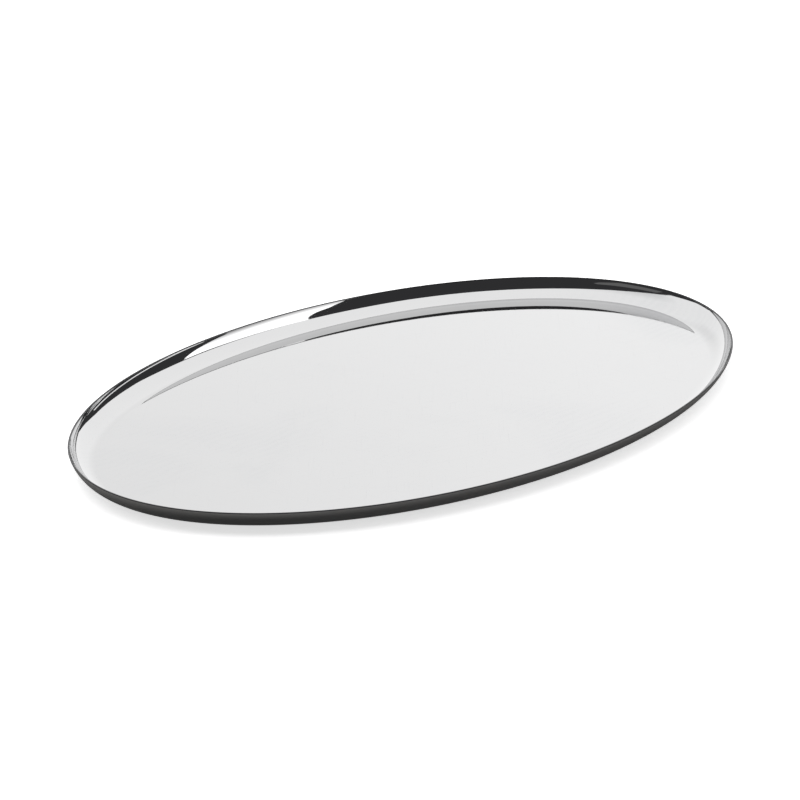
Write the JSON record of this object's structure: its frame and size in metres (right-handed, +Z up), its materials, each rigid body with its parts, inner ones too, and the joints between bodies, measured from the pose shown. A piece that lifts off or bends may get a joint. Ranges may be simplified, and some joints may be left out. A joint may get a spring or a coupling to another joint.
{
  "type": "serving tray",
  "caption": "Oval serving tray pressed from one sheet of mirror polished stainless steel, with a flat floor and a low coved rim.",
  "frame": {"origin": "on the ground under the centre of the tray", "axes": "+X along the long axis, +Y across, +Z up"},
  "size_m": [0.4798, 0.2998, 0.012],
  "materials": {
    "polished_steel": "mirror polished stainless steel"
  },
  "bodies": {
    "root": {"tray_shell": "polished_steel"}
  },
  "joints": []
}
